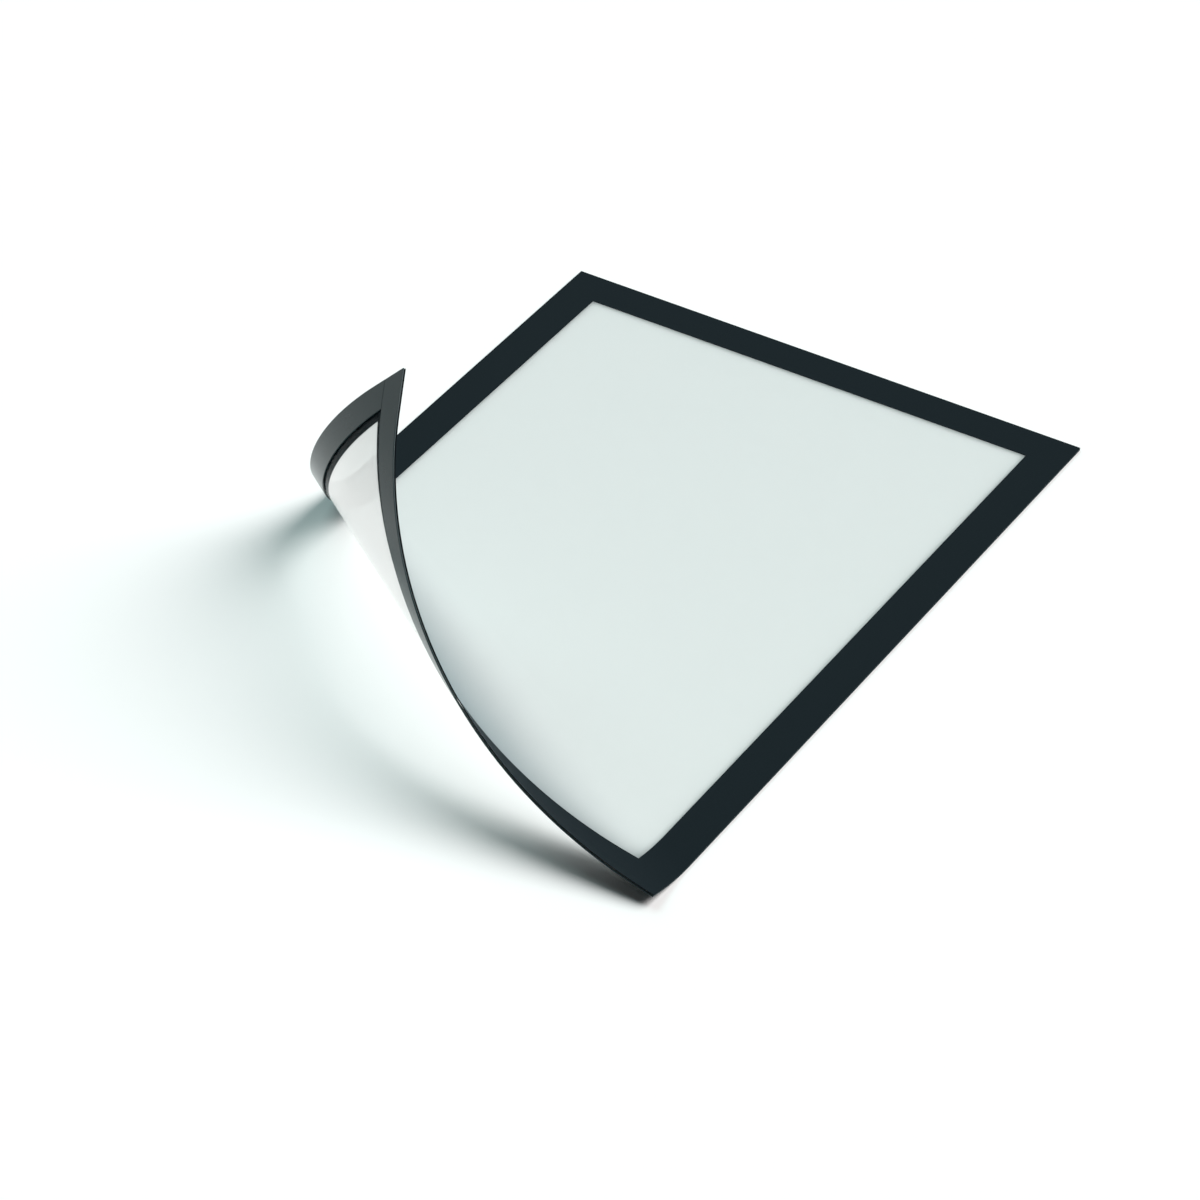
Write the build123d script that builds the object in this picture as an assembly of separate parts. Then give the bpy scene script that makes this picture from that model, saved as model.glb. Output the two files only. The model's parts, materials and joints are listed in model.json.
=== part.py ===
"""Magnetic photo frame for one A4 sheet, lying on its magnets with one corner curled up.

A clear film carries a black border on its front and four magnet strips on its back, stuck
on with double-sided tape. The sheet of paper goes between the film and a steel wall, inside
the strips. The frame bends. Here its bottom left corner is peeled up, as a hand peels it off
a wall: the flat frame is drawn first, cut along a fan of bend lines, and then folded.

Millimetres. X runs to the right and Y up the frame as it hangs on a wall. Z points out of
its front. The origin is at the middle of the frame, on the magnets' back faces.
"""
import os
from math import cos, radians, sin

from build123d import *

# The paper it shows, and how the strips and the border lie around it
SHEET_WIDTH = 210.0
SHEET_HEIGHT = 297.0
SHEET_CLEARANCE = 0.5     # between the paper's edge and the magnet strip beside it
MAGNET_WIDTH = 12.5
BORDER_LAP = 3.0          # how far the border covers the paper's edge
TAPE_INSET = 0.5          # the tape is this much narrower than its strip on each side

# Thickness of each layer, from the wall outwards
MAGNET_THICKNESS = 0.65
TAPE_THICKNESS = 0.10
FILM_THICKNESS = 0.20
BORDER_THICKNESS = 0.25

# The curl. Its bend lines start on the bottom edge, or past the end of it, at even steps.
# They slope up to the left edge, and every line bends by the same angle.
BENDS = 10
BEND_ANGLE = 12.5         # degrees at each line
FIRST_PAST = 32.0         # from the far bottom corner out to where the first line starts
LAST_SHORT = 32.0         # from the curled corner to where the last line starts
FIRST_SLOPE = 30.0        # degrees between a line and the bottom edge
LAST_SLOPE = 47.0
BEND_SLIT = 0.10          # open width of a bend line when the frame is flat

MAGNET_MARGIN = MAGNET_WIDTH + SHEET_CLEARANCE
BORDER_WIDTH = MAGNET_MARGIN + BORDER_LAP
WIDTH = SHEET_WIDTH + 2 * MAGNET_MARGIN
HEIGHT = SHEET_HEIGHT + 2 * MAGNET_MARGIN

TAPE_LEVEL = MAGNET_THICKNESS
FILM_LEVEL = TAPE_LEVEL + TAPE_THICKNESS
BORDER_LEVEL = FILM_LEVEL + FILM_THICKNESS
FRONT_LEVEL = BORDER_LEVEL + BORDER_THICKNESS


def slab(width, height, thickness, level, x=0.0, y=0.0):
    """A flat layer with its back face at the given level."""
    block = Box(width, height, thickness, align=(Align.CENTER, Align.CENTER, Align.MIN))
    return Pos(x, y, level) * block


def strips(thickness, level, inset=0.0):
    """The four strips round the edge: the top and bottom ones run the full width."""
    across = MAGNET_WIDTH - 2 * inset
    edge_x = (WIDTH - MAGNET_WIDTH) / 2
    edge_y = (HEIGHT - MAGNET_WIDTH) / 2
    long_side = (WIDTH - 2 * inset, across)
    short_side = (across, HEIGHT - 2 * MAGNET_WIDTH - 2 * inset)
    return {
        "top": slab(*long_side, thickness, level, y=edge_y),
        "bottom": slab(*long_side, thickness, level, y=-edge_y),
        "left": slab(*short_side, thickness, level, x=-edge_x),
        "right": slab(*short_side, thickness, level, x=edge_x),
    }


def border():
    """The black frame, with its window cut right through."""
    outside = slab(WIDTH, HEIGHT, BORDER_THICKNESS, BORDER_LEVEL)
    window = slab(WIDTH - 2 * BORDER_WIDTH, HEIGHT - 2 * BORDER_WIDTH, BORDER_THICKNESS, BORDER_LEVEL)
    return outside - window


def flat_frame():
    """Every piece of the frame as it lies on a wall."""
    magnets = strips(MAGNET_THICKNESS, 0.0)
    tapes = strips(TAPE_THICKNESS, TAPE_LEVEL, TAPE_INSET)
    pieces = {"film": slab(WIDTH, HEIGHT, FILM_THICKNESS, FILM_LEVEL), "border": border()}
    pieces.update({f"magnet_{side}": strip for side, strip in magnets.items()})
    pieces["tapes"] = Compound(children=list(tapes.values()))
    return pieces


def bend_line(index):
    """The axis of one bend, on the front face. Turning about it lifts the corner."""
    step = index / (BENDS - 1)
    first_x = WIDTH / 2 + FIRST_PAST
    last_x = -WIDTH / 2 + LAST_SHORT
    start = (first_x + (last_x - first_x) * step, -HEIGHT / 2, FRONT_LEVEL)
    slope = radians(FIRST_SLOPE + (LAST_SLOPE - FIRST_SLOPE) * step)
    return Axis(start, (-cos(slope), sin(slope), 0))


def corner_side(index, shift):
    """A block over all of the frame that lies on the corner's side of a bend line."""
    line = bend_line(index)
    reach = 4 * (WIDTH + HEIGHT)
    block = Box(reach, reach, reach, align=(Align.CENTER, Align.MIN, Align.CENTER))
    return Plane(line.position, x_dir=line.direction, z_dir=(0, 0, 1)) * Pos(0, shift, 0) * block


def band(piece, index):
    """What a flat piece has between one bend line and the next. Band 0 is the flat part."""
    solids = piece.solids()
    if index > 0:
        keep = corner_side(index - 1, BEND_SLIT / 2)
        solids = [part for solid in solids for part in (solid & keep or Compound()).solids()]
    if index < BENDS:
        lose = corner_side(index, -BEND_SLIT / 2)
        solids = [part for solid in solids for part in (solid - lose or Compound()).solids()]
    return solids


def folded(solid, index):
    """A band turned about its own bend line, and then about each one before it."""
    for line in range(index - 1, -1, -1):
        solid = solid.rotate(bend_line(line), BEND_ANGLE)
    return solid


def build():
    os.makedirs("parts", exist_ok=True)
    for name, piece in flat_frame().items():
        for index in range(BENDS + 1):
            solids = [folded(solid, index) for solid in band(piece, index)]
            if solids:
                node = f"{name}_curl_{index:02d}" if index else name
                shape = solids[0] if len(solids) == 1 else Compound(children=solids)
                export_step(shape, f"parts/{node}.step")


build()
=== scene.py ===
import json
from math import cos, pi, radians, sin

import bmesh
import bpy
from mathutils import Matrix, Quaternion, Vector


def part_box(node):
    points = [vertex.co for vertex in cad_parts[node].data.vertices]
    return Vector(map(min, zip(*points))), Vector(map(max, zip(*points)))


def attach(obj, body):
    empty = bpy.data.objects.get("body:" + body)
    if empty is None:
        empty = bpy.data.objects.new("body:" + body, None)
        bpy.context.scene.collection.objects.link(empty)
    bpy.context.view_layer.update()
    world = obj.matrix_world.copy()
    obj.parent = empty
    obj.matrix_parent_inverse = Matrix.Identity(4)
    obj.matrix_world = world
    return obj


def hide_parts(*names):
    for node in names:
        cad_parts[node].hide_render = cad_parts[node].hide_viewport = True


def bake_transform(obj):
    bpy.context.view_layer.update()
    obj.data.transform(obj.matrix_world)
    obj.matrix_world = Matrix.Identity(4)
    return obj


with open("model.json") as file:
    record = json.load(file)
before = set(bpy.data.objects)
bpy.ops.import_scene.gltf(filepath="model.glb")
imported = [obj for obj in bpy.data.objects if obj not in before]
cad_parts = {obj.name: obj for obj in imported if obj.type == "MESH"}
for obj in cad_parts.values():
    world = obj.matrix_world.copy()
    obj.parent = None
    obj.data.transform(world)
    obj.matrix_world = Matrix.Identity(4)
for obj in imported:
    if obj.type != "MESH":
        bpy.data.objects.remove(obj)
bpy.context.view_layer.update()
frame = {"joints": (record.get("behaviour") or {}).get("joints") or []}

# A magnetic photo frame for one A4 sheet. It lies on a white table on its magnet strips, and its
# bottom left corner is peeled up and curled over. Each layer is modelled flat, cut into the
# lengths that bend together, and then curled.

MM = 0.001

# The flat frame's outline and layers, from the CAD's flat part. The middle is at the origin.
magnet_low, magnet_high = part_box("magnet_top")
film_low, film_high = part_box("film")
border_low, border_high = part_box("border")
WIDTH, HEIGHT = 2 * film_high.x, 2 * film_high.y
MAGNET_WIDTH = magnet_high.y - magnet_low.y
MAGNET_BACK, TAPE_BACK, FILM_BACK = magnet_low.z, magnet_high.z, film_low.z
BORDER_BACK, FRONT = border_low.z, border_high.z
BORDER_WIDTH = 16 * MM
TAPE_INSET = 0.5 * MM

# How far the layers' edges are broken: a strip's by a share of its thickness
STRIP_EDGE = 0.3
BORDER_EDGE = 0.05 * MM
FILM_EDGE = 0.03 * MM
EDGE_STEPS = 2

# The curl. A place along it goes from 0, where the frame leaves the table, to 1, where the corner
# runs straight on. The CAD bends at ten lines; here each tenth of the curl bends at a dozen finer
# ones. The lines slope up to the left from the bottom edge. The first starts past its right end, and
# the last short of its left one.
LENGTHS = len(frame["joints"])
CURL_ANGLE = -sum(joint["range_deg"][0] for joint in frame["joints"])
FINE_PER_LENGTH = 12
FINE_BENDS = FINE_PER_LENGTH * LENGTHS
FIRST_PAST, LAST_SHORT = 32 * MM, 32 * MM
FIRST_X = WIDTH / 2 + FIRST_PAST
LAST_X = LAST_SHORT - WIDTH / 2
FIRST_SLOPE, LAST_SLOPE = 30.0, 47.0

# How near a point has to be to a bend line to lie on it, and how many degrees two faces may turn
# from each other and still be shaded as one
ON_LINE = 0.0005 * MM
SMOOTH_ANGLE = 20.0


def bend_line(place):
    """A point on the bend line at a place along the curl, its direction, and the way to the corner."""
    step = (LENGTHS * place - 0.5) / (LENGTHS - 1)
    slope = radians(FIRST_SLOPE + (LAST_SLOPE - FIRST_SLOPE) * step)
    point = Vector((FIRST_X + (LAST_X - FIRST_X) * step, -HEIGHT / 2, FRONT))
    return point, Vector((-cos(slope), sin(slope), 0)), Vector((-sin(slope), -cos(slope), 0))


FINE_PLACES = [(bend + 0.5) / FINE_BENDS for bend in range(FINE_BENDS)]


# Finishes

def colour(code):
    """A colour written as sRGB hex, as the linear value that shaders take."""
    parts = [int(code[i:i + 2], 16) / 255 for i in (1, 3, 5)]
    return (*(p / 12.92 if p <= 0.04045 else ((p + 0.055) / 1.055) ** 2.4 for p in parts), 1.0)


def add(tree, kind, values=(), links=(), **settings):
    """Adds a node with its settings, its sockets' values and the links into it."""
    made = tree.nodes.new("ShaderNode" + kind)
    for name, setting in settings.items():
        setattr(made, name, setting)
    for socket, value in dict(values).items():
        made.inputs[socket].default_value = value
    for socket, source in dict(links).items():
        tree.links.new(source, made.inputs[socket])
    return made


def finish_of(name):
    """A new material with its shader and the flat frame's own coordinates, in metres."""
    material = bpy.data.materials.new(name)
    material.use_nodes = True
    tree = material.node_tree
    flat = add(tree, "UVMap", uv_map="flat").outputs["UV"]
    return material, tree, tree.nodes["Principled BSDF"], flat


def show(tree, shader):
    """Makes a shader the one that a material's surface shows."""
    tree.links.new(shader.outputs[0], tree.nodes["Material Output"].inputs["Surface"])


def per_mm(size):
    """The scale of a pattern whose marks are this many millimetres across."""
    return 1 / (size * MM)


# How high the marks of a pattern stand, for the bump
MARK_HEIGHT = 0.05 * MM

# The share of light that the matt window lets straight through, to the eye and from the lamps. It is
# more from the lamps, because the film spreads their light by little more than their own width. Less
# and less of theirs comes through the more it meets the film edge on.
CLEAR_TO_EYE, CLEAR_TO_LAMPS = 0.1, 0.58

# Below a half, the window has to be turned further before it counts as edge on
EDGE_ON_BLEND = 0.27

PVC_IOR = 1.53


def matt_window():
    """Clear PVC embossed matt against glare, so that all but what lies on it blurs to a milky white.

    Edge on, less of the light behind it comes through, and more of a dark cool grey face is mixed in. The
    grey is painted shade: it is lit by the lamps, but it is darker than the film, so that the film darkens
    where it turns edge on.
    From behind it is milky at every angle.
    The real grain is under 0.1 mm, too fine to show, so it is drawn at 0.8 mm.
    """
    material, tree, shader, flat = finish_of("embossed_anti_glare_pvc")
    # The base is a dark cool grey that the clear film doesn't have: painted shade, shown where the film turns
    # edge on.
    shader.inputs["Base Color"].default_value = colour("#587079")
    shader.inputs["IOR"].default_value = PVC_IOR
    shader.inputs["Specular IOR Level"].default_value = 0.15
    grain = add(tree, "TexNoise", {"Scale": per_mm(0.8), "Detail": 2.0}, {"Vector": flat}).outputs["Fac"]
    dull = add(tree, "MapRange", {"To Min": 0.4, "To Max": 0.55}, {"Value": grain})
    bump = add(tree, "Bump", {"Strength": 0.3, "Distance": MARK_HEIGHT}, {"Height": grain})
    tree.links.new(dull.outputs[0], shader.inputs["Roughness"])
    tree.links.new(bump.outputs[0], shader.inputs["Normal"])
    milky = add(tree, "BsdfTranslucent", {"Color": colour("#e6e6e5")}, {"Normal": bump.outputs[0]})
    turned = add(tree, "LayerWeight", {"Blend": EDGE_ON_BLEND}).outputs["Facing"]
    behind = add(tree, "NewGeometry").outputs["Backfacing"]
    edge_on = add(tree, "Math", {}, {0: turned, 1: behind}, operation="SUBTRACT", use_clamp=True)
    # Edge on, the dark grey face takes the place of the milky one: painted shade.
    face = add(tree, "MixShader", {}, {0: edge_on.outputs[0], 1: milky.outputs[0], 2: shader.outputs[0]})
    straight = add(tree, "BsdfTransparent", {"Color": colour("#f6f8f7")})
    lamp_ray = add(tree, "LightPath").outputs["Is Shadow Ray"]
    through = add(tree, "MapRange", {"To Min": CLEAR_TO_LAMPS, "To Max": 0.0}, {"Value": turned}).outputs[0]
    clear = add(tree, "MapRange", {"To Min": CLEAR_TO_EYE}, {"Value": lamp_ray, "To Max": through})
    show(tree, add(tree, "MixShader", {}, {0: clear.outputs[0], 1: face.outputs[0], 2: straight.outputs[0]}))
    return material


def clear_face():
    """The same PVC as the calender rolls leave it, on the film's back and rim and under the border.

    It is clear, with a gloss that grows edge on, dulled here and there by the rolls' faint waves.
    """
    material, tree, shader, flat = finish_of("calendered_clear_pvc")
    tree.nodes.remove(shader)
    waves = add(tree, "TexNoise", {"Scale": per_mm(5), "Detail": 1.0}, {"Vector": flat}).outputs["Fac"]
    dull = add(tree, "MapRange", {"To Min": 0.1, "To Max": 0.2}, {"Value": waves})
    bump = add(tree, "Bump", {"Strength": 0.2, "Distance": MARK_HEIGHT}, {"Height": waves})
    straight = add(tree, "BsdfTransparent", {"Color": colour("#fdfefe")})
    gloss = add(
        tree, "BsdfAnisotropic", {"Color": colour("#ffffff")},
        {"Roughness": dull.outputs[0], "Normal": bump.outputs[0]},
    )
    edge_on = add(tree, "Fresnel", {"IOR": 1.04})
    inside = add(tree, "NewGeometry").outputs["Backfacing"]
    outside = add(tree, "Math", {0: 1.0}, {1: inside}, operation="SUBTRACT")
    shine = add(tree, "Math", {}, {0: edge_on.outputs[0], 1: outside.outputs[0]}, operation="MULTIPLY")
    show(tree, add(tree, "MixShader", {}, {0: shine.outputs[0], 1: straight.outputs[0], 2: gloss.outputs[0]}))
    return material


def cut_face():
    """Where one length of the clear PVC runs on into the next: there is no surface there to see."""
    material, tree, shader, _ = finish_of("unbroken_clear_pvc")
    tree.nodes.remove(shader)
    show(tree, add(tree, "BsdfTransparent", {"Color": colour("#ffffff")}))
    return material


def black_border():
    """Matt black PVC with an embossed grain: deep black, with a soft even sheen.

    The real grain is about 0.1 mm, too fine to show, so it is drawn at 0.6 mm.
    """
    material, tree, shader, flat = finish_of("embossed_matt_black_pvc")
    grain = add(tree, "TexNoise", {"Scale": per_mm(0.6), "Detail": 2.0}, {"Vector": flat}).outputs["Fac"]
    shade = add(tree, "MixRGB", {"Color1": colour("#141c20"), "Color2": colour("#1d2529")}, {"Fac": grain})
    dull = add(tree, "MapRange", {"To Min": 0.4, "To Max": 0.5}, {"Value": grain})
    bump = add(tree, "Bump", {"Strength": 0.3, "Distance": MARK_HEIGHT}, {"Height": grain})
    tree.links.new(shade.outputs[0], shader.inputs["Base Color"])
    tree.links.new(dull.outputs[0], shader.inputs["Roughness"])
    tree.links.new(bump.outputs[0], shader.inputs["Normal"])
    shader.inputs["Specular IOR Level"].default_value = 0.008
    return material


def magnet_rubber():
    """Ferrite-filled rubber, calendered in strips: near black, with a satin skin that turns pale edge on.

    The ferrite's specks are far too fine to show, so they are drawn at 0.5 mm.
    """
    material, tree, shader, flat = finish_of("calendered_ferrite_rubber")
    speck = add(tree, "TexNoise", {"Scale": per_mm(0.5), "Detail": 3.0}, {"Vector": flat}).outputs["Fac"]
    shade = add(tree, "MixRGB", {"Color1": colour("#18272a"), "Color2": colour("#283a3d")}, {"Fac": speck})
    dull = add(tree, "MapRange", {"To Min": 0.14, "To Max": 0.22}, {"Value": speck})
    bump = add(tree, "Bump", {"Strength": 0.1, "Distance": MARK_HEIGHT}, {"Height": speck})
    tree.links.new(shade.outputs[0], shader.inputs["Base Color"])
    tree.links.new(dull.outputs[0], shader.inputs["Roughness"])
    tree.links.new(bump.outputs[0], shader.inputs["Normal"])
    shader.inputs["IOR"].default_value = 1.2
    return material


def tape():
    """Tissue coated with acrylic glue on both sides: milky and a little tacky, with the fibres in it."""
    material, tree, shader, flat = finish_of("acrylic_coated_tissue")
    fibres = add(
        tree, "TexNoise", {"Scale": per_mm(1.0), "Detail": 4.0, "Distortion": 1.5}, {"Vector": flat},
    ).outputs["Fac"]
    shade = add(tree, "MixRGB", {"Color1": colour("#c9c6ba"), "Color2": colour("#e4e1d6")}, {"Fac": fibres})
    dull = add(tree, "MapRange", {"To Min": 0.3, "To Max": 0.45}, {"Value": fibres})
    bump = add(tree, "Bump", {"Strength": 0.3, "Distance": MARK_HEIGHT}, {"Height": fibres})
    tree.links.new(shade.outputs[0], shader.inputs["Base Color"])
    tree.links.new(dull.outputs[0], shader.inputs["Roughness"])
    tree.links.new(bump.outputs[0], shader.inputs["Normal"])
    return material


# Modelling the flat layers

def only(piece):
    """Makes a piece the one that the next operators act on."""
    bpy.ops.object.select_all(action="DESELECT")
    piece.select_set(True)
    bpy.context.view_layer.objects.active = piece


def layer(name, low, high, edge, *finishes):
    """A flat block between two corners. Its edges are broken once it has its shape."""
    bpy.ops.object.select_all(action="DESELECT")
    low, high = Vector(low), Vector(high)
    bpy.ops.mesh.primitive_cube_add(size=1, location=(low + high) / 2, scale=high - low)
    bpy.ops.object.transform_apply(location=True, rotation=False, scale=True)
    piece = bpy.context.object
    piece.name = name
    for finish in finishes:
        piece.data.materials.append(finish)
    bevel = piece.modifiers.new("broken edges", "BEVEL")
    bevel.width, bevel.segments, bevel.limit_method = edge, EDGE_STEPS, "ANGLE"
    return piece


def broken_edges(piece):
    """Breaks the edges of a piece that has its shape."""
    only(piece)
    bpy.ops.object.modifier_apply(modifier="broken edges")
    return piece


def strips(name, back, front, finish, inset=0.0):
    """The four strips round the edge. The top and bottom ones run the full width."""
    x, y, band = WIDTH / 2, HEIGHT / 2, MAGNET_WIDTH
    sides = {
        "top": (-x, y - band, x, y),
        "bottom": (-x, -y, x, band - y),
        "left": (-x, band - y, band - x, y - band),
        "right": (x - band, band - y, x, y - band),
    }
    made = {}
    for side, (left, bottom, right, top) in sides.items():
        low, high = (left + inset, bottom + inset, back), (right - inset, top - inset, front)
        made[side] = broken_edges(layer(f"{name}_{side}", low, high, STRIP_EDGE * (front - back), finish))
    return made


def sheet(name, back, front, edge, *finishes):
    """A flat block of the frame's full size."""
    low, high = (-WIDTH / 2, -HEIGHT / 2, back), (WIDTH / 2, HEIGHT / 2, front)
    return layer(name, low, high, edge, *finishes)


def inset_faces(piece, facing):
    """Insets a sheet's front or back by the border's width, and leaves the inset faces selected."""
    only(piece)
    bpy.ops.object.mode_set(mode="EDIT")
    bpy.ops.mesh.select_all(action="DESELECT")
    for face in bmesh.from_edit_mesh(piece.data).faces:
        face.select_set(round(face.normal.z) in facing)
    bpy.ops.mesh.inset(thickness=BORDER_WIDTH, depth=0, use_individual=True)


def border():
    """The black frame: a sheet whose two faces are inset and bridged into a window."""
    piece = sheet("border", BORDER_BACK, FRONT, BORDER_EDGE, black_border())
    inset_faces(piece, (1, -1))
    bpy.ops.mesh.bridge_edge_loops()
    bpy.ops.object.mode_set(mode="OBJECT")
    return broken_edges(piece)


def film():
    """The clear sheet. Its front is inset where the border ends, and is matt inside that."""
    piece = sheet("film", FILM_BACK, BORDER_BACK, FILM_EDGE, clear_face(), matt_window(), cut_face())
    inset_faces(piece, (1,))
    piece.active_material_index = piece.data.materials.find("embossed_anti_glare_pvc")
    bpy.ops.object.material_slot_assign()
    bpy.ops.object.mode_set(mode="OBJECT")
    return broken_edges(piece)


# Cutting and curling

def cut_length(piece, name, first, last):
    """A copy of a flat piece between two places along the curl, with its ends closed.

    An end that is None isn't cut. The last of the piece's finishes is given to the cut faces.
    """
    only(piece)
    bpy.ops.object.duplicate()
    length = bpy.context.object
    length.name = name
    length.active_material_index = len(length.material_slots) - 1
    bpy.ops.object.mode_set(mode="EDIT")
    for place, before in ((first, True), (last, False)):
        if place is not None:
            point, _, to_corner = bend_line(place)
            bpy.ops.mesh.select_all(action="SELECT")
            bpy.ops.mesh.bisect(
                plane_co=point, plane_no=to_corner, use_fill=True,
                clear_inner=before, clear_outer=not before, threshold=ON_LINE,
            )
            bpy.ops.object.material_slot_assign()
    bpy.ops.mesh.select_all(action="SELECT")
    bpy.ops.mesh.normals_make_consistent(inside=False)
    bpy.ops.object.mode_set(mode="OBJECT")
    flat_map = length.data.uv_layers.active or length.data.uv_layers.new()
    flat_map.name = "flat"
    for corner in length.data.loops:
        flat_map.data[corner.index].uv = length.data.vertices[corner.vertex_index].co.xy
    return length


def curl(length):
    """Scores a flat length along the fine bends that cross it, and turns all that lies beyond each."""
    only(length)
    bpy.ops.object.mode_set(mode="EDIT")
    bpy.context.tool_settings.mesh_select_mode = (True, False, False)
    for place in FINE_PLACES:
        point, _, to_corner = bend_line(place)
        beyond = [(v.co - point).dot(to_corner) for v in bmesh.from_edit_mesh(length.data).verts]
        if min(beyond) < 0 < max(beyond):
            bpy.ops.mesh.select_all(action="SELECT")
            bpy.ops.mesh.bisect(plane_co=point, plane_no=to_corner, threshold=ON_LINE)
    flat = [v.co.copy() for v in bmesh.from_edit_mesh(length.data).verts]
    for place in reversed(FINE_PLACES):
        point, along, to_corner = bend_line(place)
        beyond = [(co - point).dot(to_corner) for co in flat]
        for least in (-ON_LINE, ON_LINE):      # what lies on the line turns half as far
            if max(beyond) > least:
                mesh = bmesh.from_edit_mesh(length.data)
                for v, reach in zip(mesh.verts, beyond):
                    v.select_set(reach > least)
                mesh.select_flush(True)
                bpy.ops.transform.rotate(
                    value=radians(CURL_ANGLE / FINE_BENDS / 2), orient_axis="X", orient_type="GLOBAL",
                    orient_matrix=(along, to_corner, (0, 0, 1)), orient_matrix_type="GLOBAL",
                    constraint_axis=(True, False, False), center_override=point,
                )
    bpy.ops.object.mode_set(mode="OBJECT")
    bpy.ops.object.shade_smooth_by_angle(angle=radians(SMOOTH_ANGLE))
    return length


# The pieces

def body(number):
    """The body that a joint moves. Number 0 is the flat part."""
    return f"curl_{number:02d}" if number else "flat_part"


def place_layer(flat, name, node, first=0, last=LENGTHS):
    """Cuts and curls a flat piece's lengths, one for each joint from first to last. Number 0 lies flat.

    The first and last take in all that is left of the piece. One that starts past the flat part
    starts on the body before its first joint, and so stands for that body's node too.
    """
    for number in range(first, last + 1):
        starts = None if number == first else (number - 1) / LENGTHS
        ends = None if number == last else number / LENGTHS
        length = curl(cut_length(flat, f"{name}_{number:02d}", starts, ends))
        if number:
            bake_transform(length)
        else:
            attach(length, body(number))
        numbers = (number - 1, number) if number == first > 0 else (number,)
        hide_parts(*(f"{node}_curl_{n:02d}" if n else node for n in numbers))
    bpy.data.objects.remove(flat)


place_layer(film(), "clear_film", "film")
place_layer(border(), "black_border", "border")

magnets = strips("magnet_flat", MAGNET_BACK, TAPE_BACK, magnet_rubber())
MAGNET_JOINTS = {"top": (0, 0), "left": (0, LENGTHS), "right": (0, 1), "bottom": (2, LENGTHS)}
for side, (first, last) in MAGNET_JOINTS.items():
    place_layer(magnets[side], f"magnet_strip_{side}", f"magnet_{side}", first, last)

tapes = strips("tape_flat", TAPE_BACK, FILM_BACK, tape(), TAPE_INSET)
only(tapes["top"])
for strip in tapes.values():
    strip.select_set(True)
bpy.ops.object.join()
place_layer(tapes["top"], "tissue_tape", "tapes")


# Table, light and camera

# The table's size in metres, and how far under the magnets it lies
TABLE_SIZE = 12
TABLE_GAP = 0.1 * MM
bpy.ops.object.select_all(action="DESELECT")
bpy.ops.mesh.primitive_plane_add(size=TABLE_SIZE, location=(0, 0, -TABLE_GAP))
bpy.ops.object.transform_apply(location=True)
table = bpy.context.object
table.name = "white_table"
white = bpy.data.materials.new("matt_white_laminate")
white.use_nodes = True
matt = white.node_tree.nodes["Principled BSDF"]
matt.inputs["Base Color"].default_value = colour("#fafafa")
matt.inputs["Roughness"].default_value = 1.0
matt.inputs["Specular IOR Level"].default_value = 0.0
table.data.materials.append(white)

# A white backdrop for the camera, for reflections and through the film, and a faint fill for the rest.
# Light that the film scatters counts as both transmitted and diffuse, and takes the fill.
BACKDROP_LEVEL, FILL_LEVEL = 1.0, 0.04
scene = bpy.context.scene
scene.world = bpy.data.worlds.new("white_room")
scene.world.use_nodes = True
room = scene.world.node_tree
room.nodes.clear()
ray = add(room, "LightPath").outputs
shown = ray["Is Camera Ray"]
for kind, change in (("Glossy", "ADD"), ("Transmission", "ADD"), ("Diffuse", "SUBTRACT")):
    both = {0: shown, 1: ray[f"Is {kind} Ray"]}
    shown = add(room, "Math", {}, both, operation=change, use_clamp=True).outputs[0]
fill = add(room, "Background", {"Color": colour("#ffffff"), "Strength": FILL_LEVEL})
backdrop = add(room, "Background", {"Color": colour("#ffffff"), "Strength": BACKDROP_LEVEL})
mixed = add(room, "MixShader", {}, {0: shown, 1: fill.outputs[0], 2: backdrop.outputs[0]})
add(room, "OutputWorld", {}, {"Surface": mixed.outputs[0]})


def direction(around, height):
    """The way from the frame to a lamp or the camera, in degrees round from +X and up from the table."""
    around, height = radians(around), radians(height)
    return Vector((cos(height) * cos(around), cos(height) * sin(around), sin(height)))


# Two soft boxes: the degrees round and up to each, how much light it throws on the table, where 1
# would make a pure white table white, and its tint. The key throws the shadows. The fill is cool, and
# so the shadows are.
SOFT_BOXES = {"key_soft_box": (40, 49, 0.83, "#fffdfc"), "fill_soft_box": (150, 46, 0.26, "#d8fffd")}
SOFT_BOX_SPAN = 46.0
for name, (around, height, level, tint) in SOFT_BOXES.items():
    towards = direction(around, height)
    bpy.ops.object.light_add(type="SUN", location=towards)
    lamp = bpy.context.object
    lamp.name = name
    lamp.rotation_euler = towards.to_track_quat("Z", "Y").to_euler()
    lamp.data.angle = radians(SOFT_BOX_SPAN)
    lamp.data.energy = level * pi / sin(radians(height))
    lamp.data.color = colour(tint)[:3]

# The camera looks down on the frame from its front right corner, through a long lens, a hair off level.
CAMERA_AIM = Vector((7.5, -21.9, 0)) * MM
CAMERA_DISTANCE = 1911 * MM
CAMERA_AROUND, CAMERA_HEIGHT, CAMERA_ROLL = -57.42, 38.05, -0.34
SENSOR_WIDTH, LENS = 36, 149.4
NEAR, FAR = 0.01, 100
towards = direction(CAMERA_AROUND, CAMERA_HEIGHT)
bpy.ops.object.camera_add(location=CAMERA_AIM + CAMERA_DISTANCE * towards)
camera = bpy.context.object
roll = Quaternion((0, 0, 1), radians(CAMERA_ROLL))
camera.rotation_euler = (towards.to_track_quat("Z", "Y") @ roll).to_euler()
camera.data.sensor_width, camera.data.lens = SENSOR_WIDTH, LENS
camera.data.clip_start, camera.data.clip_end = NEAR, FAR
scene.camera = camera
scene.view_settings.view_transform = "Standard"
